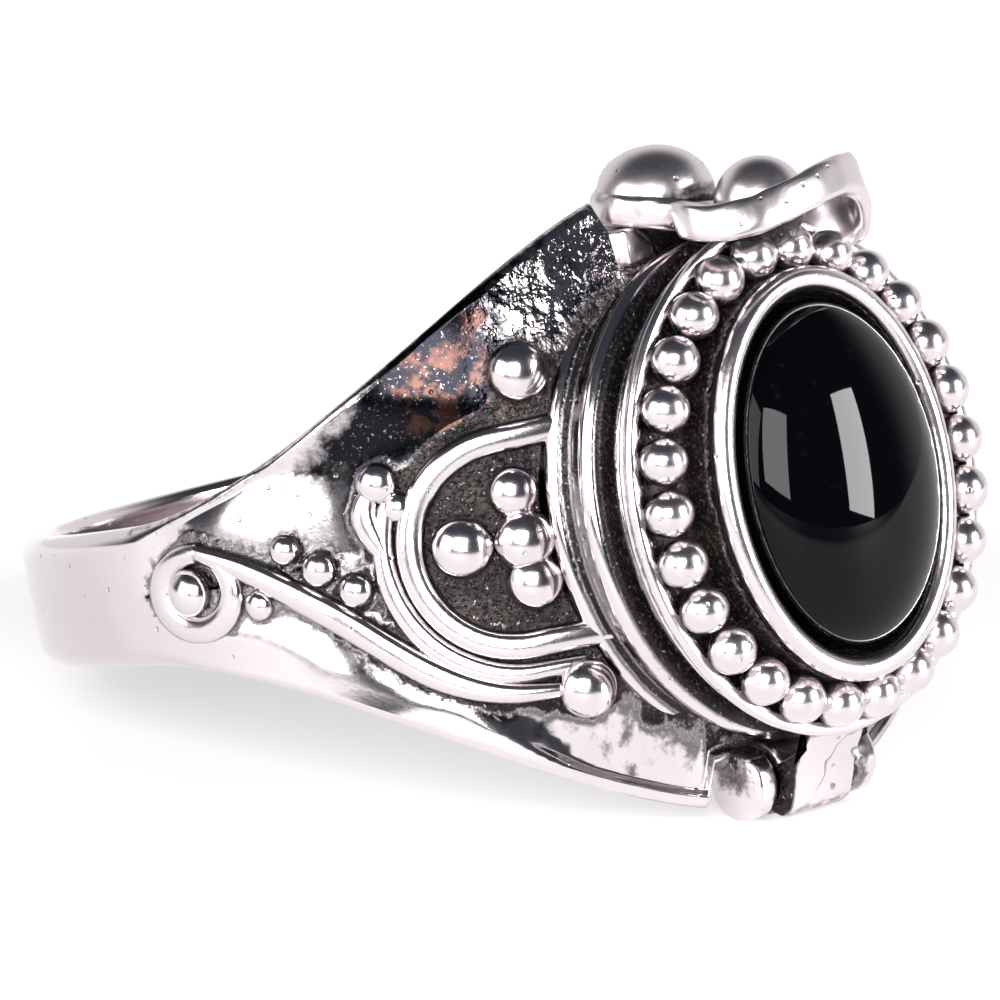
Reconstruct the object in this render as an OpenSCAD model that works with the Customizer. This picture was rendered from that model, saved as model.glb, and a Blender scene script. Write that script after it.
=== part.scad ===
// Locket ring with an oval black stone on a hinged lid.
// The ring is drawn flat: X runs from the finger to the stone, Y across the
// finger, Z along it. It is then tipped onto the hinge and the back of the
// shank, as it lies on a table. Sizes are in millimetres.

/* [Finger hole] */
// Inside diameter of the ring
bore_d = 18.2; // [17.8:0.1:18.4]

/* [Band] */
// Wall at the back of the finger
shank_t = 0.85; // [0.8:0.05:1.1]
// How much further out the band stands under the box
front_t = 0.75; // [0.6:0.05:0.9]
// Half width of the shank at the back
shank_hw = 1.38; // [1.2:0.02:1.5]
// Half width where the shoulders start to flare
flare_hw = 1.6; // [1.5:0.02:1.7]
// Where along X the flare starts
flare_x = -0.5; // [-0.8:0.1:0]
// Radius of the flare
flare_r = 12.3; // [12.2:0.05:12.6]
// Half height of the plate behind the box
plate_hw = 7.25; // [7.1:0.05:7.3]
// How deep the shoulder panels are sunk
panel_d = 0.2; // [0.1:0.02:0.25]
// How far the ribs stand over the band
rib_h = 0.26; // [0.15:0.01:0.3]
// Width of the ribs
rib_w = 0.56; // [0.48:0.02:0.6]

/* [Box] */
// Half width of the oval across the finger
oval_a = 5.35; // [5.3:0.01:5.4]
// Half length of the oval along the finger
oval_b = 5.9; // [5.85:0.01:5.95]
// Height of the open face of the box over the finger's axis
box_top = 11.42; // [11.38:0.01:11.45]
// Height of the floor of the box
box_floor = 9.9; // [9.85:0.05:10.1]
// Wall left around the hollow
box_wall = 0.65; // [0.5:0.05:0.8]

/* [Lid] */
// Underside of the lid over the finger's axis
lid_z0 = 11.58; // [11.56:0.01:11.62]
// Floor of the bead channel
lid_z1 = 12.15; // [12.1:0.01:12.2]
// Front of the outer rim
lid_rim = 12.38; // [12.3:0.01:12.5]
// Half width of the row of beads
bead_a = 4.58; // [4.5:0.01:4.62]
// Half length of the row of beads
bead_b = 5.2; // [5.15:0.01:5.24]
// Bead radius
bead_r = 0.58; // [0.5:0.01:0.58]
// Number of beads
bead_n = 26; // [24:1:26]

/* [Stone] */
// Half width of the stone
stone_a = 2.97; // [2.9:0.01:3]
// Half length of the stone
stone_b = 4.1; // [4:0.01:4.12]
// Height of the stone's girdle over the finger's axis
girdle = 13.25; // [13.1:0.05:13.35]
// Height of the dome over the girdle
dome_h = 1.65; // [1.4:0.05:1.8]
// Front of the bezel round the stone
bezel_top = 13.55; // [13.4:0.05:13.7]

/* [Hinge] */
// Height of the pin over the finger's axis
hinge_x = 10; // [9.95:0.05:10.05]
// Distance of the pin below the ring's middle
hinge_z = 6.65; // [6.6:0.01:6.7]
// Knuckle radius
knuckle_r = 0.85; // [0.8:0.01:0.88]
// Pin radius
pin_r = 0.3; // [0.26:0.01:0.32]

/* [Pose] */
// How far the stone is tipped up when the ring lies on a table
tip = 17.15; // [17:0.05:17.3]

/* [Hidden] */
bore_r = bore_d / 2;
band_r = bore_r + shank_t;
shoulder = -50;
pattern_x = 2.37;
lean_z = 3.5;
lean = front_t / (plate_hw - lean_z);
lift = 4.256;
shift = 2.367;

module tipped() {
    translate([-shift, 0, lift]) rotate([0, -tip, 0]) children();
}

// An oval drum standing out along X from x0 to x1.
module oval(a, b, x0, x1) {
    translate([x0, 0, 0]) rotate([0, 90, 0]) scale([b, a, 1])
        cylinder(r = 1, h = x1 - x0, $fn = 96);
}

module oval_ring(a, b, w, x0, x1) {
    difference() {
        oval(a, b, x0, x1);
        oval(a - w, b - w, x0 - 1, x1 + 1);
    }
}

// The band seen along the finger: a round shank moved forward in front.
module band_round(r) {
    circle(r = r, $fn = 180);
    translate([0, -r]) square([front_t, 2 * r]);
    translate([front_t, 0]) circle(r = r, $fn = 180);
}

// The round band as a solid; above and below the box its front leans in.
module band_block(r) {
    difference() {
        linear_extrude(height = 18, center = true) band_round(r);
        for (s = [-1, 1]) scale([1, 1, s]) difference() {
            translate([5.5, -12, lean_z - 0.1]) cube([8, 24, 6]);
            multmatrix([[1, 0, -lean, front_t + lean * lean_z],
                        [0, 1, 0, 0], [0, 0, 1, 0], [0, 0, 0, 1]])
                cylinder(r = r, h = 11, $fn = 180);
        }
    }
}

// The band seen from the side: a slim shank flaring to the plate.
module band_side(inset) {
    intersection() {
        translate([-12, -plate_hw + inset]) square([24, 2 * (plate_hw - inset)]);
        difference() {
            translate([-12, -9]) square([24, 18]);
            for (s = [-1, 1]) scale([1, s]) {
                translate([flare_x, flare_hw + flare_r])
                    circle(r = flare_r + inset, $fn = 180);
                polygon([[-13, shank_hw - inset], [-10, shank_hw - inset],
                         [flare_x, flare_hw - inset], [flare_x, 10], [-13, 10]]);
            }
        }
    }
}

module side_block(inset) {
    rotate([90, 0, 0]) linear_extrude(height = 24, center = true) band_side(inset);
}

module hoop() {
    difference() {
        intersection() {
            band_block(band_r);
            side_block(0);
        }
        // sunk panels on the shoulders, round where they end on the shank
        intersection() {
            difference() {
                linear_extrude(height = 18, center = true) band_round(band_r + 1);
                band_block(band_r - panel_d);
            }
            side_block(0.45);
            union() {
                translate([2, -12, -9]) cube([11, 24, 18]);
                translate([2, 12, 0]) rotate([90, 0, 0]) cylinder(r = 1.4, h = 24, $fn = 72);
            }
        }
    }
}

// The raised lines of one shoulder, drawn flat.
module shoulder_lines() {
    // inner arc
    difference() {
        union() {
            translate([pattern_x, -0.1]) circle(r = 2.35 + rib_w / 2, $fn = 96);
            translate([pattern_x, -0.1 - 2.35 - rib_w / 2]) square([2, 4.7 + rib_w]);
        }
        translate([pattern_x, -0.1]) circle(r = 2.35 - rib_w / 2, $fn = 96);
        translate([pattern_x, -0.1 - 2.35 + rib_w / 2]) square([3, 4.7 - rib_w]);
    }
    // outer arc, open above the small balls
    difference() {
        translate([pattern_x, -0.1]) circle(r = 3.02 + rib_w / 2 - 0.05, $fn = 96);
        translate([pattern_x, -0.1]) circle(r = 3.02 - rib_w / 2 + 0.05, $fn = 96);
        translate([-3, 1.0]) square([9, 4]);
        translate([3.2, -4]) square([3, 6]);
    }
    // lowest arc, running out of the scroll
    difference() {
        translate([pattern_x, -0.1]) circle(r = 3.78, $fn = 96);
        translate([pattern_x, -0.1]) circle(r = 3.34, $fn = 96);
        translate([-3, -2.2]) square([9, 7]);
        translate([3.2, -4]) square([3, 3]);
    }
    polygon([[-5.4, 1.05], [-4.9, 1.02], [-4.2, 0.72], [-3.2, 0.14], [-2.0, -0.78],
             [-1.05, -1.55], [-0.4, -2.1], [-0.55, -2.45], [-1.0, -2.25],
             [-2.1, -1.3], [-3.1, -0.45], [-4.0, 0.15], [-4.7, 0.5], [-5.2, 0.6]]);
    // scroll
    translate([-5.41, 0]) difference() {
        circle(r = 1.1, $fn = 72);
        circle(r = 0.66, $fn = 72);
    }
}

// Where each ball sits on the shoulder: angle round the band, height, radius.
balls = [[-82.9, 0, 0.56], [-72, -0.5, 0.37], [-66.9, 0.65, 0.36], [-62.5, 0.09, 0.42],
         [-58, -0.52, 0.41], [-52.5, 1.79, 0.48], [-50.4, 1.17, 0.38],
         [-31.5, 3.66, 0.7], [-30.4, -3.67, 0.68], [-35.1, 1.02, 0.6],
         [-43, 0, 0.72], [-34.8, -0.1, 0.72], [-34.5, -1.06, 0.66]];

module shoulder_work() {
    intersection() {
        translate([front_t, 0, -9]) difference() {
            cylinder(r = band_r + rib_h, h = 18, $fn = 180);
            translate([0, 0, -1]) cylinder(r = band_r - panel_d - 0.2, h = 20, $fn = 180);
        }
        translate([front_t, 0, 0]) rotate([0, 0, shoulder]) rotate([90, 0, 90])
            linear_extrude(height = 14) shoulder_lines();
    }
    for (b = balls)
        translate([front_t, 0, 0]) rotate([0, 0, b[0]])
            translate([band_r - 0.05, 0, b[1]]) sphere(r = b[2], $fn = 48);
}

// The shallow drum of the box with its two mouldings and lip.
module box_drum() {
    difference() {
        union() {
            oval(oval_a - 0.2, oval_b - 0.2, 8.4, box_top);
            oval_ring(oval_a, oval_b, 0.4, 9.3, 9.7);
            oval_ring(oval_a, oval_b, 0.4, 10.45, 10.85);
            oval_ring(oval_a - 0.08, oval_b - 0.08, 0.4, 11.1, box_top);
        }
        oval(oval_a - 0.2 - box_wall, oval_b - 0.2 - box_wall, box_floor, 13);
    }
}

// Box half of the catch: a ball in a collar that leans forward a little.
module box_catch() {
    difference() {
        union() {
            translate([9.9, -0.5, 6.6]) sphere(r = 1.36, $fn = 60);
            translate([9.75, -0.55, 6.7]) rotate([-4, 18, 0]) rotate_extrude($fn = 72)
                translate([1.15, -0.3]) square([0.4, 0.6]);
            translate([9.35, -1.1, 5.5]) cube([1.1, 1.2, 0.9]);
        }
        // filed flat on the finger's side
        translate([bore_r - 2.85, -4, 4]) cube([3, 8, 6]);
    }
}

module knuckle(y0, y1) {
    translate([hinge_x, y1, -hinge_z]) rotate([90, 0, 0])
        cylinder(r = knuckle_r, h = y1 - y0, $fn = 72);
}

module hinge_hole(r) {
    translate([hinge_x, 4, -hinge_z]) rotate([90, 0, 0]) cylinder(r = r, h = 8, $fn = 48);
}

module band() {
    color("silver") tipped() difference() {
        union() {
            difference() {
                union() {
                    hoop();
                    box_drum();
                    for (s = [1, -1]) scale([1, s, 1]) shoulder_work();
                }
                // clearance for the lid's knuckle
                translate([hinge_x, 1.2, -hinge_z]) rotate([90, 0, 0])
                    cylinder(r = knuckle_r + 0.15, h = 2.4, $fn = 72);
                // the plate is cut back round the hinge and under the catch
                translate([7, -2.25, -9]) cube([6, 4.5, 2.77]);
                translate([7, -2.3, 6.3]) cube([6, 4.2, 2]);
                oval(oval_a - 0.2 - box_wall, oval_b - 0.2 - box_wall, box_floor, 13);
            }
            box_catch();
            knuckle(1.2, 2);
            knuckle(-1.82, -1.2);
        }
        translate([0, 0, -12]) cylinder(r = bore_r, h = 24, $fn = 180);
        hinge_hole(pin_r + 0.02);
    }
}

// Lid half of the catch: a ball in an oval loop that rises forward.
module lid_catch() {
    translate([12.6, 0, 6.35]) sphere(r = 1.08, $fn = 60);
    translate([12.95, 0, 6.1]) rotate([-4, -10, 0]) rotate([0, -90, 0]) {
        oval_ring(2.65, 1.5, 0.36, -0.33, 0.33);
    }
    translate([11.62, -1.1, 5]) cube([0.7, 2, 0.8]);
}

module beads() {
    for (i = [0 : bead_n - 1]) {
        // even steps along the oval, with a small shift for its longer sides
        u = (i + 0.5) * 360 / bead_n;
        t = u + 1.82 * sin(2 * u);
        translate([12.65, bead_a * sin(t), bead_b * cos(t)]) sphere(r = bead_r, $fn = 40);
    }
}

module lid() {
    color("gainsboro") tipped() difference() {
        union() {
            oval(oval_a - 0.2, oval_b - 0.2, lid_z0, lid_z1);
            oval_ring(oval_a, oval_b, 0.3, lid_z0 + 0.25, lid_rim);
            beads();
            oval(3.55, 4.72, lid_z1 - 0.1, bezel_top);
            lid_catch();
            knuckle(-1.05, 1.05);
            translate([0, 1.05, 0]) rotate([90, 0, 0]) linear_extrude(height = 2.1)
                polygon([[lid_z0 + 0.04, -5.3], [12.1, -5.3], [12, -5.75], [11.6, -6.15],
                         [11.36, -7], [11.06, -7.5], [10.6, -7.6], [10.1, -7.45],
                         [10.2, -6.2], [10.75, -6.3], [11.1, -5.95], [lid_z0 + 0.04, -5.85]]);
        }
        oval(stone_a + 0.06, stone_b + 0.06, 12.55, 15);
        hinge_hole(pin_r + 0.05);
    }
}

module stone() {
    color("black") tipped() intersection() {
        union() {
            oval(stone_a, stone_b, 12.6, girdle);
            translate([girdle, 0, 0]) scale([dome_h, stone_a, stone_b])
                sphere(r = 1, $fn = 96);
        }
        translate([12.6, -6, -6]) cube([4, 12, 12]);
    }
}

module hinge_pin() {
    color("gray") tipped() translate([hinge_x, 1.78, -hinge_z]) rotate([90, 0, 0])
        cylinder(r = pin_r, h = 3.56, $fn = 48);
}

band();
lid();
stone();
hinge_pin();
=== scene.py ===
# %% [markdown]
# # A locket ring with a black stone
#
# The ring is cast metal with a silver finish: a plain shank, shoulders with
# raised scrolls and balls, a shallow oval box, and a beaded lid that holds a
# domed black stone. We load the measured model first and then make each piece
# again with softer edges, because a cast and polished ring has no sharp corner.

import math
import random

import bpy
from mathutils import Matrix, Vector, noise


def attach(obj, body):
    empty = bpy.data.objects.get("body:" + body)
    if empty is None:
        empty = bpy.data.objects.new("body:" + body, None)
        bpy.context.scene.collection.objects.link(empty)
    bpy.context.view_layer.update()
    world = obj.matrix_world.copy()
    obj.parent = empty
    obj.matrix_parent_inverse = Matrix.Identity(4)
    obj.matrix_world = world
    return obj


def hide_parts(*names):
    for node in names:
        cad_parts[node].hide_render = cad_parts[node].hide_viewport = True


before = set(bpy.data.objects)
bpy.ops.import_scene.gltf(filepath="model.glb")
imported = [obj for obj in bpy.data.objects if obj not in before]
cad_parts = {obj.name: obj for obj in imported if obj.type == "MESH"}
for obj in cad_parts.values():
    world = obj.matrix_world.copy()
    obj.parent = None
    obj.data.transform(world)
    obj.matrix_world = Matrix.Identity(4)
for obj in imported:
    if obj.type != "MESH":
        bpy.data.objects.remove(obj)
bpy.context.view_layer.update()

# %% [markdown]
# ## The frame of the work
#
# A ring is easiest to make flat: X runs from the finger to the stone, Y across
# the finger and Z along it, in millimetres. On the table it leans on its hinge
# and on the back of its shank, so each finished piece is leaned once, with the
# same turn that the measured model has.

# %% Main sizes, in millimetres
BORE, BAND = 9.1, 9.95  # radius of the finger hole and of the band's outside
FRONT = 0.75  # how much further out the band stands under the box
SHANK_W, FLARE_W, PLATE = 1.38, 1.6, 7.25  # half widths: back, start of the flare, plate
FLARE_X, FLARE_R = -0.5, 12.3  # where the flare starts, and its radius
A, B = 5.35, 5.9  # half axes of the oval box and lid
BEZEL_A, BEZEL_B = 3.31, 4.47  # half axes of the bezel's round edge
print("finger hole", 2 * BORE, "mm, head", 2 * A, "by", 2 * B, "mm")

# %% Lean, and helpers that select, place and shape
LEAN_DEG = 17.15
LEAN = (
    Matrix.Scale(0.001, 4)
    @ Matrix.Translation((-2.367, 0, 4.256))
    @ Matrix.Rotation(-math.radians(LEAN_DEG), 4, "Y")
)


def take(piece):
    """Selects one piece and nothing else."""
    if bpy.context.object and bpy.context.object.mode != "OBJECT":
        bpy.ops.object.mode_set(mode="OBJECT")
    bpy.ops.object.select_all(action="DESELECT")
    piece.select_set(True)
    bpy.context.view_layer.objects.active = piece
    return piece


def new_piece(name):
    """Names the primitive that was just added."""
    piece = bpy.context.object
    piece.name = name
    piece.data.name = name
    return piece


def shape(piece, place):
    """Moves each vertex to where place(x, y, z) puts it."""
    for v in piece.data.vertices:
        v.co = place(*v.co)
    piece.data.update()


def put(piece, matrix):
    """Places a piece and writes the place into its mesh."""
    take(piece)
    piece.matrix_world = matrix
    bpy.ops.object.transform_apply(location=True, rotation=True, scale=True)


print("finished pieces lean back by", LEAN_DEG, "degrees")

# %% Helpers that clean, shade and finish
def outward(piece):
    """Merges doubles and turns every face outwards."""
    take(piece)
    bpy.ops.object.mode_set(mode="EDIT")
    bpy.ops.mesh.select_all(action="SELECT")
    bpy.ops.mesh.remove_doubles(threshold=0.0004)
    bpy.ops.mesh.normals_make_consistent(inside=False)
    bpy.ops.object.mode_set(mode="OBJECT")


def ramp(x, lo, hi):
    """0 below lo, 1 above hi, with a soft turn between them."""
    t = min(1, max(0, (x - lo) / (hi - lo)))
    return t * t * (3 - 2 * t)


def hollows(piece, depth):
    """Stores how hidden each point is, from 0 to 1: dark polish stays there, and where parts shade
    each other the value is painted shade.
    """
    layer = piece.data.attributes.new("hollow", "FLOAT", "POINT")
    for v, d in zip(piece.data.vertices, layer.data):
        d.value = min(1, max(0, depth(*v.co)))


def settle(piece, body, finish, angle=50):
    """Leans a finished piece, gives it its finish and lets it ride."""
    put(piece, LEAN @ piece.matrix_world)
    bpy.ops.object.shade_smooth_by_angle(angle=math.radians(angle))
    piece.data.materials.clear()
    piece.data.materials.append(finish)
    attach(piece, body)
    print(piece.name, len(piece.data.polygons), "faces")


print("a soft turn from 0 to 1:", [round(ramp(x, 0, 4), 2) for x in range(5)])

# %% [markdown]
# ## Shader maths as plain expressions
#
# A finish is a sum of small decisions: where the polish is, where the dark
# patina stays. Writing them as sums of masks reads better than a list of nodes,
# so a socket gets plus, minus and times. Any other node comes from one method,
# and the same class serves the room round the ring.

# %% A socket that does arithmetic
class Value:
    """One socket of a node tree, which can be added to and multiplied."""

    def __init__(self, finish, socket):
        self.finish, self.socket = finish, socket

    def maths(self, operation, *others, clamp=False):
        return self.finish.node("ShaderNodeMath", {"operation": operation, "use_clamp": clamp},
                                dict(enumerate((self, *others))))

    def __add__(self, other):
        return self.maths("ADD", other)

    def __sub__(self, other):
        return self.maths("SUBTRACT", other)

    def __rsub__(self, other):
        return self.finish.node("ShaderNodeMath", {"operation": "SUBTRACT"}, {0: other, 1: self})

    def __mul__(self, other):
        return self.maths("MULTIPLY", other)

    __radd__, __rmul__ = __add__, __mul__

    def clamp(self):
        return self.maths("ADD", 0.0, clamp=True)

    def between(self, lo, hi):
        """0 at lo and below, 1 at hi and above."""
        return self.finish.node("ShaderNodeMapRange", {"interpolation_type": "SMOOTHSTEP"},
                                {"Value": self, "From Min": lo, "From Max": hi})


class Finish:
    """A material, or a room, whose shader is fed with sums of values."""

    def __init__(self, name, kind="materials", shader="Principled BSDF"):
        self.made = getattr(bpy.data, kind).new(name)
        self.made.use_nodes = True
        self.tree = self.made.node_tree
        self.shader = self.tree.nodes[shader]

    def plug(self, node, key, value):
        """Links a value to a socket, or writes a constant on it."""
        if isinstance(value, Value):
            self.tree.links.new(value.socket, node.inputs[key])
        else:
            node.inputs[key].default_value = value

    def node(self, kind, settings=None, sockets=None, out=0):
        made = self.tree.nodes.new(kind)
        for key, value in (settings or {}).items():
            setattr(made, key, value)
        for key, value in (sockets or {}).items():
            self.plug(made, key, value)
        return Value(self, made.outputs[out])

    def feed(self, name, value):
        """Gives one of the shader's own sockets its value."""
        self.plug(self.shader, name, value)

    def blend(self, factor, a, b):
        """A colour between a and b."""
        return self.node("ShaderNodeMix", {"data_type": "RGBA"}, {0: factor, 6: a, 7: b}, out=2)

    def vector(self, operation, a, b):
        """A number from two vectors, such as their distance or dot product."""
        return self.node("ShaderNodeVectorMath", {"operation": operation}, {0: a, 1: b}, out=1)

    def here(self):
        """The object's own coordinates, in metres."""
        return self.node("ShaderNodeTexCoord", out=3)

    def grain(self, size, detail=4.0, rough=0.55):
        """Cloudy noise whose blotches are about size millimetres across."""
        return self.node("ShaderNodeTexNoise", None,
                         {"Vector": self.here(), "Scale": 1000 / size, "Detail": detail,
                          "Roughness": rough})

    def cells(self, size):
        """Distance to the nearest of many scattered points, size millimetres apart."""
        return self.node("ShaderNodeTexVoronoi", None,
                         {"Vector": self.here(), "Scale": 1000 / size})


print("the maths helper is ready")

# %% [markdown]
# ## Aged silver
#
# The whole ring is dipped in a dark patina and then polished, so the high
# places are bright and the hollows stay nearly black. Each piece carries a
# hollow value on its points, and the finish turns that into colour, dullness
# and grit. Mostly that value is patina, but in places it is painted shade:
# under the lid's edge, under the lid, at the foot of the box and under the
# catch's balls; in the box's cove it is a painted dark reflection. The pieces
# were polished unevenly, so each gets a finish of its own from the same
# recipe: how many pits, how dull, how grainy.

# %% The silver finish
BRIGHT = (0.73, 0.67, 0.68, 1)
PATINA = (0.014, 0.012, 0.014, 1)
GRIME = (0.075, 0.055, 0.045, 1)
COPPER = (0.090, 0.046, 0.037, 1)
TARNISH = (0.075, 0.072, 0.085, 1)
# The next colour is a painted reflection: the dark room mirrored blue-black in the shoulders'
# polished ground.
PAINTED_REFLECTION_NAVY = (0.013, 0.013, 0.017, 1)
COPPER_AT = (0.0043, -0.006, 0.01)


def aged_silver(name, pits=0.3, dull=0.18, grainy=0.1, spread=0.7, shoulders=False, waves=None):
    """Bright where hollow is 0, black and gritty where it is 1.

    pits is how dark the small holes are, dull and grainy the roughness and the
    unevenness of the polish, spread how far noise frays the dark edges. With
    shoulders the painted dark reflection of the room on the upper ground, the
    worn copper patch and the rolled ground of the band are added, and waves is
    the middle of a patch of wavy scratches.
    """
    f = Finish(name)
    hollow = f.node("ShaderNodeAttribute", {"attribute_name": "hollow"}, out=2)
    place = f.here()
    cloud, edge, fine = f.grain(1.1, 4), f.grain(0.26, 5, 0.7), f.grain(0.09, 3, 0.7)
    dark = (hollow + (edge - 0.5) * spread + (cloud - 0.5) * 0.25).between(0.44, 0.66)
    grit = f.grain(0.10, 3, 0.6).between(0.54, 0.66)
    warm = (hollow + (edge - 0.5) * spread).between(0.16, 0.40) * (1 - dark)
    holes = 1 - f.cells(0.6).between(0.06, 0.12)
    colour = f.blend(warm * 0.85, BRIGHT, TARNISH)
    if waves:
        spot = f.vector("DISTANCE", place, waves)
        swirl = (f.grain(1.3, 2) - 0.5).maths("ABSOLUTE").between(0.004, 0.02)
        worn = (1 - spot.between(0.0005, 0.0011)) * (1 - swirl)
        colour = f.blend(worn * 0.7, colour, TARNISH)
    if shoulders:
        # Painted reflection: the dark room mirrored in the upper ground of the shoulders, painted
        # in as blue-black.
        colour = f.blend(painted_dark_reflection(f, place) * (1 - 0.5 * fine.between(0.6, 0.72)), colour, PAINTED_REFLECTION_NAVY)
        spot = f.vector("DISTANCE", place, COPPER_AT) + (cloud - 0.5) * 0.005
        worn = outside_only(f, place) * (1 - spot.between(0.0012, 0.0019))
        patchy = (f.grain(0.7, 3) + edge * 0.8).between(0.84, 1.02)
        colour = f.blend(worn * patchy * 0.85, colour, COPPER)
    soot = f.blend(grit * 0.5 + cloud.between(0.45, 0.7) * 0.4, PATINA, GRIME)
    colour = f.blend((dark + holes * pits).clamp(), colour, soot)
    colour = f.blend(dark * f.grain(0.13, 3, 0.7).between(0.62, 0.74) * 0.7, colour, BRIGHT)
    f.feed("Base Color", colour)
    f.feed("Metallic", (1 - dark * 0.2).clamp())
    f.feed("Roughness", (dull + dark * 0.14 + (edge - 0.5) * 0.10 + fine * 0.05).clamp())
    deep = hollow.between(0.3, 0.9)
    relief = fine * (grainy + 0.5 * deep) + edge * (grainy * 0.3 + 0.6 * deep) + grit * deep
    bump = {"Height": relief - holes * 0.4, "Strength": 0.6, "Distance": 0.00006}
    if shoulders:
        bump["Normal"] = shoulder_crown(f, place)
    f.feed("Normal", f.node("ShaderNodeBump", None, bump))
    return f.made


print("polished silver", BRIGHT[:3], "over patina", PATINA[:3])

# %% [markdown]
# ## The painted dark reflection and the worn copper on the shoulders
#
# Above the arcs the ground is painted blue-black: a painted reflection of the
# dark room in front, with a little of the real copper under the silver showing
# through. Next to it the ground rolls over at its upper edge and climbs to the
# box. Both follow the edge of the shoulder, so we measure how far a point is
# from that edge. The wall of the finger hole is worn bright and gets none of
# it. Lengths are in metres here, because that is what the shader sees.

# %% Where the painted reflection and the copper patch are
def shoulder_place(f, place):
    """Distance below the upper edge of the shoulder, and place along X and Z."""
    flat = f.node("ShaderNodeVectorMath", {"operation": "MULTIPLY"}, {0: place, 1: (1, 0, 1)})
    centre = LEAN @ Vector((FLARE_X, 0, FLARE_W + FLARE_R))
    away = f.vector("DISTANCE", flat, (centre.x, 0, centre.z)) - FLARE_R * 0.001
    out = [away]
    for axis in ((1, 0, 0), (0, 0, 1)):
        axis = LEAN.to_3x3().normalized() @ Vector(axis)
        out.append(f.vector("DOT_PRODUCT", place, tuple(axis)) - axis.dot(LEAN.translation))
    return out


def outside_only(f, place):
    """1 on the outside of the band and 0 on the worn wall of the finger hole."""
    x = shoulder_place(f, place)[1]
    y = f.node("ShaderNodeSeparateXYZ", None, {0: place}, out=1)
    return (x * x + y * y).between(0.0093**2, 0.0096**2)


def painted_dark_reflection(f, place):
    """The painted dark reflection: a wedge that widens from the small balls up to the box."""
    away, x, z = shoulder_place(f, place)
    ragged = (f.grain(0.5, 5, 0.7) - 0.5) * 0.0012
    wedge = (away + x * 0.33 - 0.0023 + ragged).between(-0.0003, 0.0003)
    starts = (x + ragged * 1.5).between(0.0036, 0.0050)
    ends = 1 - (x + ragged * 2).between(0.0087, 0.0096)
    above = (z + ragged).between(0.0015, 0.0024)
    return outside_only(f, place) * wedge * starts * ends * above


print("the shoulder's edge is an arc of", FLARE_R, "mm radius")

# %% How the ground rolls and climbs
def tilted(f, height, strength, normal=None):
    """Turns the surface as if it rose by height, in metres."""
    sockets = {"Height": height * 1000, "Distance": 0.001, "Strength": strength}
    if normal:
        sockets["Normal"] = normal
    return f.node("ShaderNodeBump", None, sockets)


def shoulder_crown(f, place):
    """Rolls the ground over at its upper edge and lifts it, lumpy, to the box."""
    away, x, z = shoulder_place(f, place)
    roll = 0.0
    for slope, reach in ((0.35, 0.0004), (0.13, 0.003)):
        fade = f.node("ShaderNodeMath", {"operation": "POWER"}, {0: math.e, 1: away * (-1 / reach)})
        roll = fade * (-slope * reach) + roll
    rolled = tilted(f, roll, x.between(0.0008, 0.0028) * (1 - x.between(0.0046, 0.0062)))
    upper = z.between(0.001, 0.003)
    to_box = x - 0.009
    lifted = tilted(f, to_box.maths("MAXIMUM", 0.0) * 0.3, 1 - upper, rolled)
    lumps = f.grain(0.6, 4).between(0.3, 0.7) * 0.000035
    climb = x * 0.27 + to_box * to_box * 70 - z * 0.11 + lumps
    return tilted(f, climb, upper * x.between(0.0083, 0.0090), lifted)


print("the ground is tilted three times: rolled, lifted and made to climb")

# %% One finish for each kind of piece
shank_silver = aged_silver("aged_silver_band", dull=0.1, grainy=0.035, shoulders=True)
trim_silver = aged_silver("aged_silver_trim", pits=0.2, dull=0.15, grainy=0.07)
box_silver = aged_silver("aged_silver_box", pits=0.1, dull=0.1, grainy=0.03, spread=0.25)
lid_silver = aged_silver("aged_silver_lid", pits=0.2, dull=0.19)
catch_silver = aged_silver("aged_silver_catch", pits=0.5, dull=0.27)
strap_silver = aged_silver("aged_silver_strap", dull=0.22,
                           waves=tuple(LEAN @ Vector((11.3, 0.35, -6.6))))
print("silver finishes:", [m.name for m in (shank_silver, trim_silver, box_silver, lid_silver,
                                            catch_silver, strap_silver)])

# %% [markdown]
# ## The band
#
# On the real ring the shank and the shoulders are one casting: narrow at the
# back, flaring to a plate behind the box, with a sunk ground inside a thin rim
# on each shoulder. A torus already goes all the way round a finger, so we add
# one and move its points: a wall of less than a millimetre, rounded corners,
# and the ground pressed in, less and less towards its upper edge.

# %% Width and thickness of the band
AROUND, ACROSS = 360, 84
SUNK = 0.24


def half_width(x):
    """Half height of the band at x: a slim shank, then the flare."""
    if x < FLARE_X:
        return SHANK_W + max(0, x + 10) * (FLARE_W - SHANK_W) / (FLARE_X + 10)
    w = FLARE_W + FLARE_R - math.sqrt(max(0, FLARE_R**2 - (x - FLARE_X) ** 2))
    return min(PLATE, w)


def cap(y):
    """Half heights of the plate at y: notched for the catch and the hinge."""
    top = PLATE - 0.95 * ramp(y, -2.42, -2.28) * (1 - ramp(y, 1.88, 2.02))
    low = PLATE - 1.02 * (1 - ramp(abs(y), 2.23, 2.37))
    return top, low


def outside(angle, z=0):
    """Outer radius of the band: its front stands out less above and below the box."""
    front = FRONT * min(1, max(0, (PLATE - abs(z)) / 3.75))
    c, s = math.cos(angle), abs(math.sin(angle))
    if c <= 0 or front == 0:
        return BAND
    if s > 1e-6 and BAND / s * c <= front:
        return BAND / s
    return front * c + math.sqrt(BAND**2 - (front * s) ** 2)


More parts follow.
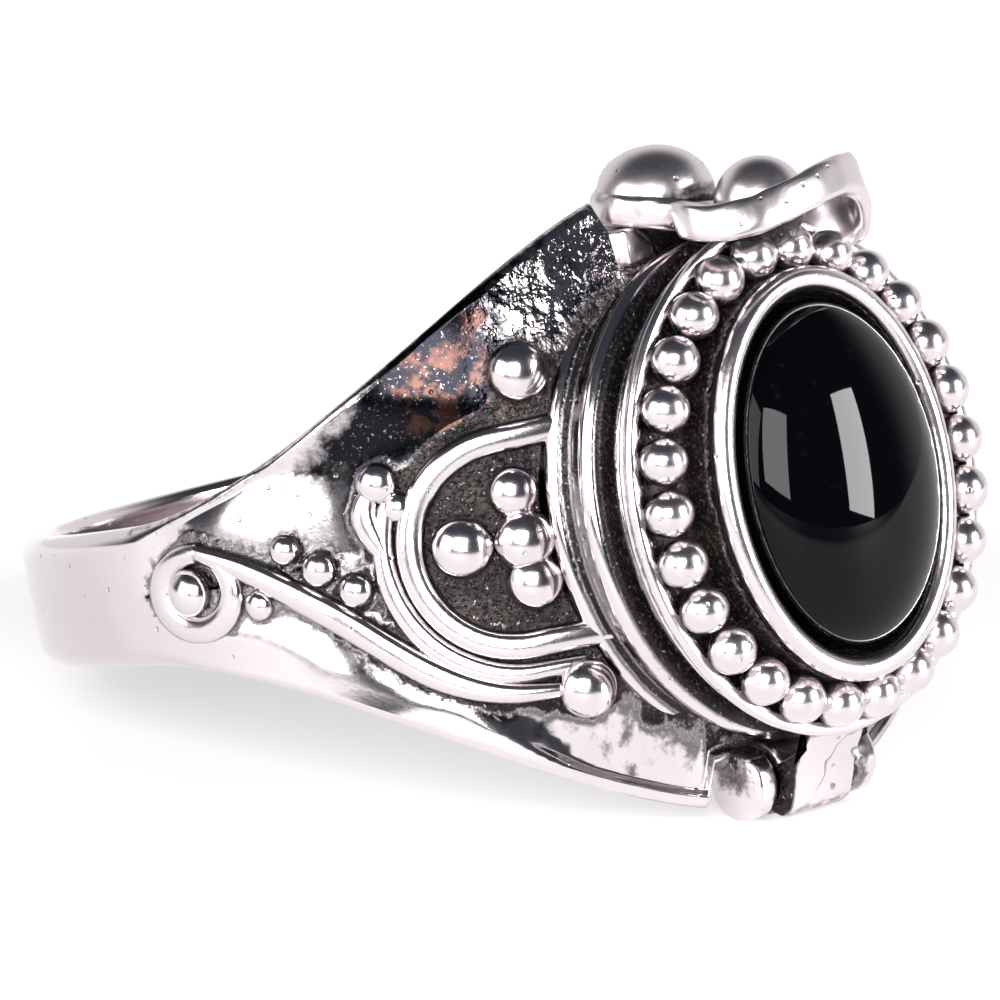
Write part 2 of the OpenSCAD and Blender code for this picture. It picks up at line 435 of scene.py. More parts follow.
def panel(x, y, z):
    """1 on the sunk ground, 0 on the rims; the ground climbs to the upper edge."""
    top, low = cap(y)
    if z > 0:
        d = min(half_width(x), top) - z - 0.1
        soft = ramp(d, -0.08, 0.14) * min(1, max(0, d) / max(0.1, d + z - 2.4))
    else:
        left = 1 - ramp(x, 7.4, 9.0)
        d = min(half_width(x), low) + z - 0.4 - 0.9 * left
        soft = ramp(d, -0.08 - 0.4 * left, 0.14 + 0.5 * left) * (0.25 + 0.75 * ramp(x, 4.5, 7.5))
    return soft * ramp(x, 0.2, 1.6)


print("half width of the band", [round(half_width(x), 2) for x in (-10, 0, 3, 6, 9)])

# %% [markdown]
# ## The shoulder pattern
#
# Both shoulders carry the same drawing: two nested arcs open to the box, a
# stem that runs out of a small scroll, a drop, and groups of balls. It is
# drawn flat first, with t along the shoulder and z up, and laid on the band
# afterwards.

# %% The drawing, flat
CENTRE = (2.37, -0.1)


def arc(radius, start, end, steps=26, centre=CENTRE):
    """Points on part of a circle, start and end in degrees."""
    out = []
    for i in range(steps + 1):
        a = math.radians(start + (end - start) * i / steps)
        out.append((centre[0] + radius * math.cos(a), centre[1] + radius * math.sin(a)))
    return out


inner_arc = [(4.5, 2.3), (3.4, 2.27)] + arc(2.36, 88, 276) + [(3.5, -2.46), (4.15, -2.49)]
outer_arc = arc(2.98, 152, 274) + [(3.4, -3.1)]
stem = [(-5.3, 1.0), (-4.7, 0.72), (-3.89, 0.35), (-2.71, -0.45), (-1.66, -1.26), (-0.85, -2.0),
        (0.1, -2.78), (1.1, -3.3), (2.1, -3.55), (3.1, -3.6)]
drop = [(-0.43, 1.75), (-0.72, 1.5), (-0.88, 1.15), (-0.84, 0.78), (-0.66, 0.35), (-0.5, 0)]
hook = arc(0.88, 80, 400, 28, (-5.2, 0))
# each line with its radius and how thin its ends are
LINES = [(inner_arc, 0.33, 1.0), (outer_arc, 0.29, 0.7), (stem, 0.35, 0.45), (drop, 0.32, 0.6),
         (hook, 0.33, 0.75)]
# each ball as angle round the finger, height and radius
BALLS = [(-72, -0.5, 0.37), (-66.9, 0.65, 0.36), (-62.5, 0.09, 0.42),
         (-58, -0.52, 0.41), (-52.5, 1.79, 0.48), (-50.4, 1.17, 0.36),
         (-31.5, 3.66, 0.7), (-30.4, -3.67, 0.68), (-35.1, 1.02, 0.6),
         (-43, 0, 0.72), (-34.8, -0.1, 0.72), (-34.5, -1.06, 0.66), (-82.9, 0, 0.56)]


def along(angle):
    """Place along the flat drawing of a spot at this angle round the finger."""
    return BAND * math.sin(math.radians(angle + 50))


def from_work(t, z):
    """Distance from a spot on the shoulder to the nearest raised work."""
    best = 9
    for line, radius, _ in LINES:
        for (x0, z0), (x1, z1) in zip(line, line[1:]):
            dx, dz = x1 - x0, z1 - z0
            k = min(1, max(0, ((t - x0) * dx + (z - z0) * dz) / (dx * dx + dz * dz)))
            best = min(best, math.hypot(t - x0 - k * dx, z - z0 - k * dz) - radius)
    for angle, bz, radius in BALLS:
        best = min(best, math.hypot(t - along(angle), z - bz) - radius)
    return best


print("pattern:", len(LINES), "lines and", len(BALLS), "balls on each shoulder")

# %% Press the torus into the band
# The section has 84 points. Counted from the middle of the outside, either way
# round: the ground ends at 14, its slope at 20, the rim at 23, the outer corner
# at 28, the side at 30, the inner corner at 35, and 42 is the middle of the hole.
GROUND, SLOPE, RIM, OUTER, SIDE, INNER, HALF = 14, 20, 23, 28, 30, 35, ACROSS // 2
bpy.ops.object.select_all(action="DESELECT")
bpy.ops.mesh.primitive_torus_add(major_segments=AROUND, minor_segments=ACROSS,
                                 major_radius=10, minor_radius=1)
band = new_piece("band_shell")


def band_point(x, y, z):
    """Where a point of the torus goes on the band."""
    rho = math.hypot(x, y)
    angle = math.atan2(y, x)
    j = math.atan2(z, rho - 10) / math.tau * ACROSS
    side, j = (1 if j >= 0 else -1), abs(j)
    c = math.cos(angle)
    w_out = half_width(outside(angle) * c)
    for _ in range(6):
        w_out = (w_out + half_width(outside(angle, w_out) * c)) / 2
    w_in = half_width(BORE * c)
    limit = cap(BAND * math.sin(angle))[0 if side > 0 else 1] if c > 0 else 9
    w_out, w_in = min(w_out, limit), min(w_in, limit)
    plain = 1 - ramp(outside(angle) * c, 0.5, 3)
    rc, ri = 0.2 + 0.2 * plain, 0.22
    b, a = rc + 0.10, rc + 0.42
    if j <= GROUND:
        h = (w_out - a) * j / GROUND
    elif j <= SLOPE:
        h = w_out - a + (a - b) * (j - GROUND) / (SLOPE - GROUND)
    elif j <= RIM:
        h = w_out - b + (b - rc) * (j - SLOPE) / (RIM - SLOPE)
    out = outside(angle, h if j <= RIM else w_out)
    if j <= RIM:
        r = out
    elif j <= OUTER:
        k = (j - RIM) / (OUTER - RIM)
        q = math.pi / 2 * k
        sunk = SUNK * panel(out * c, out * math.sin(angle), side * (w_out - rc))
        r = out - rc + rc * math.cos(q) - sunk * (1 - k)
        h = w_out - rc + rc * math.sin(q)
    elif j <= SIDE:
        k = (j - OUTER) / (SIDE - OUTER)
        r = out - rc + (BORE + ri - out + rc) * k
        h = w_out + (w_in - w_out) * k
    elif j <= INNER:
        q = math.pi / 2 * (j - SIDE) / (INNER - SIDE)
        r, h = BORE + ri - ri * math.sin(q), w_in - ri + ri * math.cos(q)
    else:
        r, h = BORE, (w_in - ri) * (HALF - j) / (HALF - INNER)
    h *= side
    if j <= RIM:
        r -= SUNK * panel(r * c, r * math.sin(angle), h)
        r += 0.012 * noise.noise(Vector((angle * 9, h * 1.3, 3.1)))
    return r * c, r * math.sin(angle), h


shape(band, band_point)
outward(band)
print("the band's wall is", round(BAND - BORE, 2), "mm thick,", len(band.data.vertices), "points")

# %% Where the band stays dark
def band_hollow(x, y, z):
    """Dark beside the raised work and inside the arcs, painted shade at the foot of the box, open
    elsewhere.
    """
    if math.hypot(x, y) < BAND - 0.55 or x < 0.2:
        return 0
    edge = half_width(x) - abs(z)
    if edge < 0.14 or panel(x, y, z) < 0.02:
        return 0.24 if z > 0 and edge < 0.2 else 0.03
    if x > 9.2 and z > 5.3:
        return 0.2
    angle = -math.degrees(math.atan2(abs(y), x - FRONT))
    t = along(angle)
    near = from_work(t, z)
    inside = 1 - ramp(math.hypot(min(0, t - CENTRE[0]), z - CENTRE[1]), 2.7, 3.2)
    foot = math.exp(-max(0, near) / (0.11 + 0.1 * inside)) * (0.6 + 0.4 * ramp(t, -3.6, -1.6))
    # Painted shade: the ground round the foot of the box is darkened where the box shades it.
    shade_by_box = 1 - ramp(math.hypot(y / A, z / B), 1.0, 1.12)
    streak = 0.3 * ramp(noise.noise(Vector((t * 0.45, z * 2.2 - t * 0.9, 5))), 0.2, 0.4)
    return min(1, 0.10 + 0.8 * foot + 0.52 * inside + 0.5 * shade_by_box + streak * ramp(-z, 1.5, 2.5))


hollows(band, band_hollow)
settle(band, "ring", shank_silver, 60)

# %% [markdown]
# ## The raised lines and balls
#
# A wire laid on the drawing gives each raised line its round back. Each wire is
# a curve with a round section that thins towards its ends, made a mesh, pressed
# a little flatter, and wrapped on the shoulder; the other shoulder gets its
# mirror image. One ball is modelled and copied to all its places.

# %% Lay a flat drawing on a shoulder
BEDDED = 0.2


def lay(piece, side):
    """Wraps a flat piece (t, z, height) on the near or the far shoulder."""
    def place(t, z, h):
        angle = math.asin(max(-1, min(1, t / BAND))) - math.radians(50)
        r = BAND - BEDDED + h
        return FRONT + r * math.cos(angle), side * r * math.sin(angle), z
    shape(piece, place)
    outward(piece)


def wire(name, line, radius, thin):
    """A wire along a flat line, a little flat on top, with thin ends."""
    bpy.ops.object.select_all(action="DESELECT")
    bpy.ops.curve.primitive_nurbs_path_add()
    piece = new_piece(name)
    piece.data.splines.clear()
    spline = piece.data.splines.new("NURBS")
    spline.points.add(len(line) - 1)
    for i, ((t, z), p) in enumerate(zip(line, spline.points)):
        end = min(i, len(line) - 1 - i) / max(1, len(line) * 0.3)
        p.co = (t, z, 0, 1)
        p.radius = thin + (1 - thin) * min(1, end)
    spline.order_u, spline.use_endpoint_u, spline.resolution_u = 3, True, 4
    piece.data.bevel_depth, piece.data.bevel_resolution = radius, 4
    piece.data.use_fill_caps = True
    bpy.ops.object.convert(target="MESH")

    def flatter(x, y, z):
        v = min(1, abs(z) / radius)
        v = (1 - (1 - v * v) ** 1.5) ** (1 / 3)
        return x, y, math.copysign(v, z) * radius * 0.95 + 0.08

    shape(piece, flatter)
    return piece


def ball(name, radius, flat=0.9):
    """A cast ball: a sphere, a little flat on top, sunk at its foot."""
    bpy.ops.object.select_all(action="DESELECT")
    bpy.ops.mesh.primitive_uv_sphere_add(segments=36, ring_count=20, radius=radius)
    piece = new_piece(name)
    shape(piece, lambda x, y, z: (x, y, z * flat))
    return piece


print("the drawing's level lies", BEDDED, "mm under the outside of the band")

# %% Both shoulders
def join(name, parts):
    """Makes several pieces one and names it."""
    take(parts[0])
    for p in parts[1:]:
        p.select_set(True)
    bpy.ops.object.join()
    return new_piece(name)


def low(r_from, r_to):
    """Hollow value that fades from the foot of the work to its back."""
    def depth(x, y, z):
        return 1 - ramp(math.hypot(x - FRONT, y), r_from, r_to)
    return depth


for side, word in ((1, "near"), (-1, "far")):
    wires = []
    for i, (line, radius, thin) in enumerate(LINES):
        piece = wire(f"line_{word}_{i}", line, radius, thin)
        lay(piece, side)
        wires.append(piece)
    lines = join(f"shoulder_lines_{word}", wires)
    hollows(lines, low(BAND - 0.16, BAND + 0.04))
    settle(lines, "ring", trim_silver, 70)
    balls = []
    for i, (angle, z, radius) in enumerate(BALLS):
        piece = ball(f"ball_{word}_{i}", radius, 0.8)
        turn = math.radians(angle)
        put(piece, Matrix.Translation((FRONT, 0, 0)) @ Matrix.Rotation(turn * side, 4, "Z")
            @ Matrix.Translation((BAND - 0.12 + radius * 0.12, 0, z))
            @ Matrix.Rotation(math.radians(90), 4, "Y"))
        balls.append(piece)
    group = join(f"shoulder_balls_{word}", balls)
    outward(group)
    hollows(group, low(BAND - 0.14, BAND + 0.12))
    settle(group, "ring", trim_silver, 70)

# %% [markdown]
# ## Oval mouldings
#
# The box, the lid and the bezel are ovals with a turned section, like the
# mouldings of a picture frame. We start with a circle, stretch it to an oval,
# and go along the section: extrude the loop, scale it to the next width and
# height, and so on to the end.

# %% Helpers for turnings
def oval_turning(name, rows, steps=168):
    """rows of (x, half width in Y, half length in Z), one loop each; the last one is filled."""
    bpy.ops.object.select_all(action="DESELECT")
    bpy.ops.mesh.primitive_circle_add(vertices=steps, radius=1, fill_type="NOTHING",
                                      rotation=(0, math.radians(90), 0))
    piece = new_piece(name)
    bpy.ops.object.transform_apply(location=False, rotation=True, scale=False)
    x, a, b = rows[0]
    shape(piece, lambda px, py, pz: (x, py * a, pz * b))
    bpy.ops.object.mode_set(mode="EDIT")
    bpy.ops.mesh.select_all(action="SELECT")
    for (x0, a0, b0), (x1, a1, b1) in zip(rows, rows[1:]):
        bpy.ops.mesh.extrude_region_move(
            TRANSFORM_OT_translate={"value": (x1 - x0, 0, 0)})
        bpy.ops.transform.resize(value=(1, a1 / a0, b1 / b0), center_override=(0, 0, 0))
    bpy.ops.mesh.edge_face_add()
    bpy.ops.object.mode_set(mode="OBJECT")
    outward(piece)
    return piece


def bead_of(x, a, b, r, start, end, steps=7):
    """Loops round a half-round moulding of radius r centred at x."""
    out = []
    for i in range(steps + 1):
        q = math.radians(start + (end - start) * i / steps)
        out.append((x + r * math.cos(q), a + r * math.sin(q), b + r * math.sin(q)))
    return out


print("a half round of radius 1:", [round(x, 2) for x, a, b in bead_of(0, 0, 0, 1, 180, 0, 4)])

# %% [markdown]
# ## The box
#
# The box rises out of the plate with two round mouldings, a hollow between
# them, and a lip that the lid comes down on. Inside it is a plain oval tray.
# The mouldings were polished clean, and a thin dark line stays beside each.
# The hollow between them is painted darker as a painted reflection of the dark
# room, and the lip under the lid's edge is painted black as shade.

# %% Turn the box
rows = [(8.6, A - 0.2, B - 0.2), (9.3, A - 0.2, B - 0.2)]
rows += bead_of(9.55, A - 0.26, B - 0.26, 0.24, 165, 15)
rows += [(9.84, A - 0.3, B - 0.3), (10.05, A - 0.34, B - 0.34), (10.28, A - 0.32, B - 0.32),
         (10.42, A - 0.38, B - 0.38)]
rows += bead_of(10.7, A - 0.28, B - 0.28, 0.26, 155, 25)
rows += [(10.98, A - 0.26, B - 0.26)]
rows += bead_of(11.1, A - 0.24, B - 0.24, 0.12, 150, 10)
rows += [(11.25, A - 0.36, B - 0.36), (11.28, A - 0.5, B - 0.5), (11.39, A - 0.52, B - 0.52),
         (11.42, A - 0.56, B - 0.56),
         (11.42, A - 0.80, B - 0.80), (11.36, A - 0.85, B - 0.85), (9.98, A - 0.86, B - 0.86),
         (9.9, A - 0.95, B - 0.95), (9.9, 0.4, 0.9)]
box = oval_turning("box_wall", rows)
print("the box is turned from", len(rows), "loops")

# %% Where the box stays dark
def box_hollow(x, y, z):
    """Black painted shade under the lid's edge, dark lines beside the mouldings, a painted dark
    reflection in the cove, worn lip.
    """
    if x > 11.4 or math.hypot(y / (A - 0.5), z / (B - 0.5)) < 1:
        return 0.75 if x < 11.3 else 0.3
    # Painted shade: from the lip up to the lid the wall is black, where the lid's edge shades it.
    if x > 11.04:
        return 1
    if x < 9.5:
        return 0.6 * (1 - ramp(math.hypot(y / A, z / B), 0.95, 0.98))
    line = min(abs(x - place) for place in (9.82, 10.42, 10.98))
    # Painted reflection: the cove between the mouldings is darkened as if it mirrored the dark
    # room.
    painted_cove_reflection = 0.30 * (1 - ramp(abs(x - 10.12), 0.26, 0.4))
    return min(1, 0.02 + painted_cove_reflection + 0.75 * math.exp(-line / 0.05))


hollows(box, box_hollow)
settle(box, "ring", box_silver, 60)

# %% [markdown]
# ## The lid
#
# The lid is a thin oval plate. Its front has an outer rim, a channel for the
# beads, and a tall bezel that holds the stone. It is one turning as well, from
# the middle of its back, over the rim and the bezel, to the floor under the
# stone.

# %% Turn the lid
BEZEL_X, BEZEL_R = 13.3, 0.285  # height and radius of the bezel's round edge
rows = [(11.56, 0.4, 0.9), (11.56, 4.74, 5.29), (11.62, 4.82, 5.37), (11.72, 4.84, 5.39),
        (11.74, 5.04, 5.59), (11.77, 5.13, 5.68), (11.84, 5.15, 5.7), (11.9, 5.1, 5.65),
        (11.96, 5.06, 5.61), (12.06, 5.06, 5.61), (12.12, 5.12, 5.67), (12.16, 5.24, 5.79)]
rows += bead_of(12.24, 5.21, 5.76, 0.14, 125, 20, 5)
rows += [(12.38, 5.18, 5.73), (12.38, 5.05, 5.6), (12.34, 5.0, 5.55), (12.24, 4.97, 5.52),
         (12.15, 4.93, 5.48),
         (12.15, 3.96, 5.1), (12.2, 3.72, 4.88), (12.42, 3.62, 4.78), (12.8, 3.56, 4.72),
         (13.04, 3.52, 4.68)]
rows += bead_of(BEZEL_X, BEZEL_A, BEZEL_B, BEZEL_R, 130, -75, 16)
rows += [(13.2, 3.0, 4.15), (12.66, 2.95, 4.1), (12.6, 2.85, 4.0), (12.6, 0.4, 0.9)]
lid = oval_turning("lid_plate", rows)
print("the lid is turned from", len(rows), "loops")

# %% Where the lid stays dark
def lid_hollow(x, y, z):
    """Black painted shade below, where the lid meets the box; black in the channel and in the seat;
    bright on rim and bezel.
    """
    out = math.hypot(y / A, z / B)
    bezel = math.hypot(y / BEZEL_A, z / BEZEL_B)
    # Painted shade: the lid's underside and back edge are black, as the gap over the box lies in
    # shadow.
    if x < 11.73:
        return 1
    if x < 12.14:
        return 0.45 if out < 0.955 else 0.05
    if bezel < 0.95:
        return 1 - 0.7 * ramp(x, 13.3, 13.45)
    if bezel < 1.22:
        return 0.75 * (1 - ramp(x, 12.9, 13.22))
    return 1 - ramp(out, 0.92, 0.965)


hollows(lid, lid_hollow)
settle(lid, "lid", lid_silver, 60)

# %% [markdown]
# ## The beads
#
# Beads of solder or cast shot stand side by side round the bezel. No two are
# quite the same, so each copy gets its own small stretch. Their feet stay black
# in the channel.

# %% One bead, copied round the oval
random.seed(7)
COUNT, BEAD_R = 26, 0.585
BEAD_X, BEAD_A, BEAD_B = 12.64, 4.58, 5.2  # height of their middles, and the oval they stand on
beads = []
for i in range(COUNT):
    piece = ball(f"bead_{i}", BEAD_R, 0.96)
    u = math.tau * (i + 0.5) / COUNT
    t = u + math.radians(1.82) * math.sin(2 * u)
    grow = [1 + random.uniform(-0.03, 0.03) for _ in range(3)]
    place = (BEAD_X + random.uniform(-0.02, 0.02), BEAD_A * math.sin(t), BEAD_B * math.cos(t))
    put(piece, Matrix.Translation(place) @ Matrix.Diagonal((*grow, 1)))
    beads.append(piece)
beads = join("lid_beads", beads)
print(COUNT, "beads of", 2 * BEAD_R, "mm")

# %% Where the beads stay dark
def bead_hollow(x, y, z):
    """Dark feet, a little less so on the side of the rim."""
    out = math.hypot(y / A, z / B)
    return (1 - ramp(x, 12.3, 12.8)) * (1 - 0.5 * ramp(out, 0.93, 0.96))


hollows(beads, bead_hollow)
settle(beads, "lid", lid_silver, 70)

# %% [markdown]
# ## The stone
#
# A cabochon is a dome over a short straight girdle. A sphere is stretched to
# the oval, its lower half is cut off, and the cut is drawn down to the seat.
# The polish is nearly perfect and the stone nearly black, so all that it shows
# is the room: its finish is dark, smooth and only faintly mottled.

# %% Cut the stone
GIRDLE, DOME = 13.22, (1.68, 2.86, 4.0)  # height of the girdle, and size of the dome over it
bpy.ops.object.select_all(action="DESELECT")
bpy.ops.mesh.primitive_uv_sphere_add(segments=96, ring_count=64, radius=1,
                                     rotation=(0, math.radians(90), 0))
stone = new_piece("stone_dome")
bpy.ops.object.transform_apply(location=False, rotation=True, scale=False)
bpy.ops.object.mode_set(mode="EDIT")
bpy.ops.mesh.select_all(action="SELECT")
bpy.ops.mesh.bisect(plane_co=(0, 0, 0), plane_no=(1, 0, 0), clear_inner=True, use_fill=True)
bpy.ops.object.mode_set(mode="OBJECT")
shape(stone, lambda x, y, z: (GIRDLE + DOME[0] * x, DOME[1] * y, DOME[2] * z))
bpy.ops.object.mode_set(mode="EDIT")
bpy.ops.mesh.select_all(action="DESELECT")
bpy.ops.object.mode_set(mode="OBJECT")
for face in stone.data.polygons:
    face.select = face.normal.x < -0.9
bpy.ops.object.mode_set(mode="EDIT")
bpy.ops.mesh.extrude_region_move(TRANSFORM_OT_translate={"value": (-0.55, 0, 0)})
bpy.ops.object.mode_set(mode="OBJECT")
outward(stone)
top = max(v.co.x for v in stone.data.vertices)
print("the stone stands", round(top - BEZEL_X - BEZEL_R, 2), "mm over its bezel")

# %% The black finish
f = Finish("black_stone")
f.feed("Base Color", f.blend(f.grain(0.35, 3).between(0.62, 0.8) * 0.5,
                             (0.0008, 0.0008, 0.0014, 1), (0.004, 0.005, 0.009, 1)))
f.feed("Roughness", 0.03 + f.grain(0.9, 2).between(0.6, 0.9) * 0.04)
f.feed("IOR", 1.26)
f.feed("Specular IOR Level", 0.5)
settle(stone, "lid", f.made, 40)

# %% [markdown]
# ## The hinge
#
# Three knuckles turn on a wire pin under the head. The two outer ones belong
# to the band and the middle one to the lid, where it comes down as a short
# strap. They are cylinders with soft edges; the strap is the outline of its
# side, drawn as one face and pulled across. Wavy scratches mark its front.

# %% Knuckles and strap
HX, HZ, KNUCKLE_R = 10.0, -6.65, 0.85
STRAP_LO, STRAP_HI = -1.05, 0.88
STRAP_MID = (STRAP_LO + STRAP_HI) / 2


def soften(piece, kind, **settings):
    """Adds one modifier and applies it."""
    take(piece)
    m = piece.modifiers.new(kind.lower(), kind)
    for key, value in settings.items():
        setattr(m, key, value)
    bpy.ops.object.modifier_apply(modifier=m.name)


def knuckle(name, y0, y1):
    """A cylinder with soft edges on the line of the pin."""
    bpy.ops.object.select_all(action="DESELECT")
    bpy.ops.mesh.primitive_cylinder_add(vertices=48, radius=KNUCKLE_R, depth=y1 - y0,
                                        location=(HX, (y0 + y1) / 2, HZ),
                                        rotation=(math.radians(90), 0, 0))
    piece = new_piece(name)
    bpy.ops.object.transform_apply(location=True, rotation=True, scale=True)
    soften(piece, "BEVEL", width=0.16, segments=4, limit_method="ANGLE")
    return piece


outer = [knuckle("knuckle_far", 1.04, 1.95), knuckle("knuckle_near", -1.84, -1.2)]
ends = join("hinge_knuckles", outer)
hollows(ends, lambda x, y, z: 0.1 + (1 - ramp(abs(y), 1.1, 1.3)) + 0.8 * ramp(z, -6.3, -5.9))
settle(ends, "ring", trim_silver, 50)

# %% The strap with its knuckle
middle = knuckle("strap_knuckle", STRAP_LO, STRAP_HI)
bpy.ops.object.select_all(action="DESELECT")
bpy.ops.mesh.primitive_circle_add(vertices=12, radius=1, fill_type="NGON",
                                  rotation=(math.radians(90), 0, 0))
strap = new_piece("lid_strap")
bpy.ops.object.transform_apply(location=False, rotation=True, scale=False)
outline = [(11.66, -5.25), (12, -5.25), (11.94, -5.8), (11.62, -6.15), (11.32, -6.5), (11.12, -7),
           (10.88, -7.44), (10.5, -7.6), (10.1, -7.42), (10.2, -6.2), (10.75, -6.3), (11.66, -6)]
for v, (x, z) in zip(strap.data.vertices, outline):
    v.co = (x, STRAP_HI, z)
bpy.ops.object.mode_set(mode="EDIT")
bpy.ops.mesh.select_all(action="SELECT")
bpy.ops.mesh.extrude_region_move(TRANSFORM_OT_translate={"value": (0, STRAP_LO - STRAP_HI, 0)})
bpy.ops.object.mode_set(mode="OBJECT")
outward(strap)
soften(strap, "BEVEL", width=0.12, segments=4, limit_method="ANGLE")
strap = join("lid_strap", [strap, middle])
outward(strap)
hollows(strap, lambda x, y, z: 0.5 * ramp(z, -5.95, -5.7)
        + 0.9 * ramp(abs(y - STRAP_MID), 0.91, 0.96) + 0.3 * ramp(-z, 7.2, 7.5))
settle(strap, "lid", strap_silver, 50)

# %% [markdown]
# ## The catch
#
# On top, the band and the lid each end in a ball inside a loop of ribbon, and
# a fingernail between them opens the lid. The ribbon is a torus whose section
# is made flat and tall, and whose plane is twisted a little, as a bent strip is.
# The box's ball is filed flat where the finger goes past it.

# %% Ribbon loops and their balls
def ribbon(name, centre, turn, long_y, long_x, wall, tall, twist, swell=0.0):
    """A bent strip: twist lifts two quarters of it, swell makes its far end taller.

    turn is how far it is turned about X and Y, in degrees.
    """
    bpy.ops.object.select_all(action="DESELECT")
    bpy.ops.mesh.primitive_torus_add(major_segments=120, minor_segments=24,
                                     major_radius=3, minor_radius=1)
    piece = new_piece(name)

    def place(x, y, z):
        rho, a = math.hypot(x, y), math.atan2(y, x)
        q = math.atan2(z, rho - 3)
        c, s = math.cos(q), math.sin(q)
        grown = swell * max(0, math.sin(a)) ** 4
        off = math.copysign(abs(c) ** 0.6, c) * wall / 2
        up = math.copysign(abs(s) ** 0.6, s) * tall / 2 * (1 + grown)
        dent = 0.03 * noise.noise(Vector((x, y, z)) * 1.3)
        return ((long_x + off + dent) * math.cos(a), (long_y + off + dent) * math.sin(a),
                up + dent + twist * math.sin(2 * a) - 0.18 * grown)

    shape(piece, place)
    put(piece, Matrix.Translation(centre) @ Matrix.Rotation(math.radians(turn[1]), 4, "Y")
        @ Matrix.Rotation(math.radians(turn[0]), 4, "X"))
    outward(piece)
    return piece


def knob(name, centre, radius):
    """A round ball at its place."""
    piece = ball(name, radius, 1.0)
    put(piece, Matrix.Translation(centre))
    return piece


def catch(name, body, parts, centre, reach):
    """Joins a ball and its ribbon; the gap between them and their undersides get painted shade."""
    piece = join(name, parts)
    middle = Vector(centre)

    def depth(x, y, z):
        d = (Vector((x, y, z)) - middle).length
        # Painted shade: below the ball's middle and close to it the metal is darkened as if shaded
        # by the ball and the ribbon.
        foot = 1 - ramp(z, centre[2] - 0.55, centre[2] + 0.25)
        return foot * (1 - ramp(d, reach - 0.1, reach + 0.25))

    hollows(piece, depth)
    settle(piece, body, catch_silver, 60)


print("helpers for ribbon, knob and catch are ready")

# %% The box's half, filed flat, and the lid's half
FILED = 9.2
collar = ribbon("collar", (9.78, -0.55, 6.66), (-4, 18), long_y=1.38, long_x=1.38,
                wall=0.5, tall=0.74, twist=-0.1)
bpy.ops.object.select_all(action="DESELECT")
bpy.ops.mesh.primitive_cube_add(size=1, location=(9.95, -1.85, 5.88), scale=(0.85, 0.85, 0.85))
tab = new_piece("collar_tab")
bpy.ops.object.transform_apply(location=True, rotation=True, scale=True)
soften(tab, "BEVEL", width=0.12, segments=4)
dome = knob("box_ball", (0, 0, 0), 1)
shape(dome, lambda x, y, z: (9.75 + 1.43 * x, -0.6 + 1.43 * y, 6.84 + 1.17 * z))
for part in (dome, collar):
    shape(part, lambda x, y, z: (max(x, FILED + 0.05 * (x - FILED)), y, z))
catch("catch_box", "ring", [dome, collar, tab], (9.8, -0.55, 6.95), 1.42)
loop = ribbon("loop", (12.93, 0, 6.13), (-3, -14), long_y=2.43, long_x=1.34,
              wall=0.42, tall=0.88, twist=0.3, swell=0.9)
catch("catch_lid", "lid", [knob("lid_ball", (12.6, 0, 6.33), 1.06), loop],
      (12.6, 0, 6.35), 1.08)

# %% [markdown]
# ## What the pieces stand for
#
# The plain solids stay for the collisions and are hidden in the picture. The
# pin keeps its measured shape, which is right as it is, and gets the silver
# finish.

# %% Hide the plain solids
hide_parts("band")
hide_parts("lid")
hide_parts("stone")
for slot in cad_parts["hinge_pin"].material_slots:
    slot.material = trim_silver

# %% [markdown]
# ## Floor, light and camera
#
# Polished metal shows the studio more than its own colour. The room is white
# behind the ring and dark in front and above, which gives the balls their dark
# tops, and the pale floor gives them their bright undersides. The floor ends
# in the dark out of the picture, as a table does. Three soft boxes light the
# ring: the right and the front one are the two window marks in the stone, and
# the left one brightens the shank. The colours are shown as they are, with the
# Standard transform, because the photo's white is a clean white.

# %% The floor
CLEAR, DARK = 0.055, 0.09  # the floor is pale up to CLEAR and dark from DARK, in metres
bpy.ops.object.select_all(action="DESELECT")
bpy.ops.mesh.primitive_plane_add(size=1.6, location=(0, 0, -0.00002))
floor = new_piece("floor")
f = Finish("pale_floor")
gone = f.vector("DOT_PRODUCT", f.here(), (0.906, -0.423, 0)).between(CLEAR, DARK)
pale = f.blend(f.grain(60, 2), (0.50, 0.49, 0.495, 1), (0.52, 0.51, 0.515, 1))
f.feed("Base Color", f.blend(gone, pale, (0.05, 0.05, 0.06, 1)))
f.feed("Roughness", 0.7)
f.feed("Emission Color", f.blend(gone, (1, 1, 1, 1), (0, 0, 0, 1)))
f.feed("Emission Strength", 0.52)
floor.data.materials.append(f.made)
print("the floor is", round(floor.dimensions.x, 2), "m wide")

# %% The room
room = Finish("studio", "worlds", "Background")
look = room.node("ShaderNodeTexCoord")
height = room.node("ShaderNodeSeparateXYZ", None, {0: look}, out=2)
back = room.vector("DOT_PRODUCT", look, (-0.728, 0.685, 0))
white = back.between(0.1, 0.6) * height.between(0.75, 0.35)
room.feed("Color", room.blend(white, (0.04, 0.046, 0.062, 1), (0.9, 0.88, 0.88, 1)))
room.feed("Strength", 1.0)
bpy.context.scene.world = room.made
bpy.context.scene.view_settings.view_transform = "Standard"
print("the room is dark in front and above, white behind")

# %% Soft boxes
AWAY = 0.6  # metres from the ring to each lamp


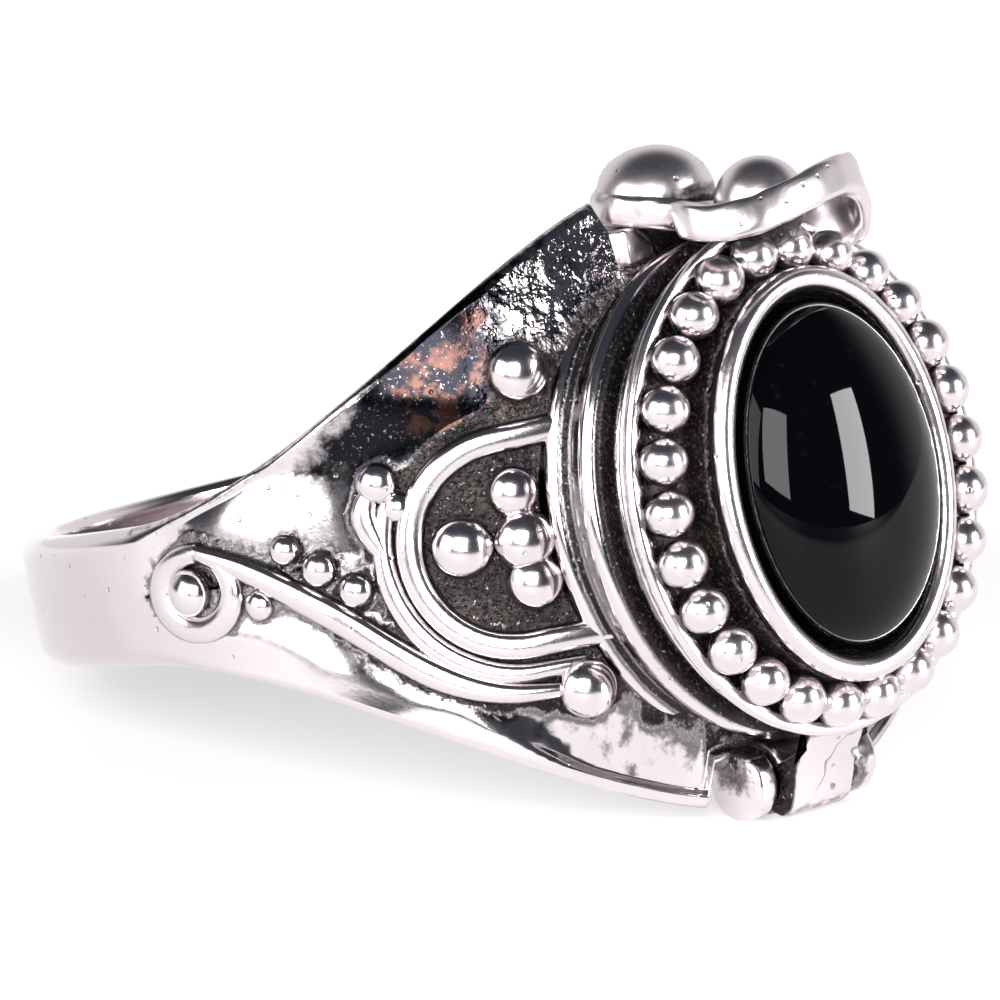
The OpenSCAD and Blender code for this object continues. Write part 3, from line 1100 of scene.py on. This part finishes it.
def softbox(name, azimuth, elevation, wide, tall, glow, roll=0):
    """A rectangular lamp that looks at the ring; glow is how bright its face is."""
    a, e = math.radians(azimuth), math.radians(elevation)
    spot = Vector((math.sin(a) * math.cos(e), -math.cos(a) * math.cos(e), math.sin(e)))
    bpy.ops.object.light_add(type="AREA", location=spot * AWAY + Vector((0, 0, 0.008)))
    lamp = bpy.context.object
    lamp.name = name
    lamp.data.shape = "RECTANGLE"
    lamp.data.size, lamp.data.size_y = wide, tall
    lamp.data.energy = glow * wide * tall * math.pi
    facing = (-spot).to_track_quat("-Z", "Y").to_matrix()
    lamp.rotation_euler = (facing @ Matrix.Rotation(math.radians(roll), 3, "Z")).to_euler()


softbox("left_box", -10, 20, wide=0.46, tall=0.4, glow=4)
softbox("right_box", 117.3, 17, wide=0.18, tall=0.34, glow=28, roll=-15.4)
softbox("front_box", 39.6, 23.7, wide=0.37, tall=0.36, glow=11, roll=-2.8)

# %% [markdown]
# ## The camera
#
# Matching the ring's outline, its hole and its stone to the picture gives the
# direction of view, the scale and the point looked at, all in the flat frame of
# the ring with the ring leaned by a little less than it really leans. So the
# camera is worked out flat, unleaned by that fit, and leaned with the ring.

# %% The camera
AZ, EL = math.radians(46.76), math.radians(16.04)
FIT_LEAN, SCALE, DISTANCE = math.radians(16.26), 42.757, 300.0
SIDEWAYS, UPWARDS = 1.186, 0.409
right = Vector((math.cos(AZ), math.sin(AZ), 0))
behind = Vector((math.sin(AZ) * math.cos(EL), -math.cos(AZ) * math.cos(EL), math.sin(EL)))
up = behind.cross(right)
unlean = Matrix.Rotation(FIT_LEAN, 3, "Y")
right, behind, up = unlean @ right, unlean @ behind, unlean @ up
spot = DISTANCE * behind + SIDEWAYS * right + UPWARDS * up
turn = LEAN.to_3x3().normalized()
axes = Matrix((turn @ right, turn @ up, turn @ behind)).transposed()
bpy.ops.object.camera_add()
camera = bpy.context.object
camera.matrix_world = Matrix.Translation(LEAN @ spot) @ axes.to_4x4()
camera.data.sensor_width = 36
camera.data.lens = SCALE * DISTANCE / 1000 * 36
camera.data.clip_start, camera.data.clip_end = 0.01, 10
bpy.context.scene.camera = camera
print("lens", round(camera.data.lens, 1), "mm at", round(DISTANCE), "mm")
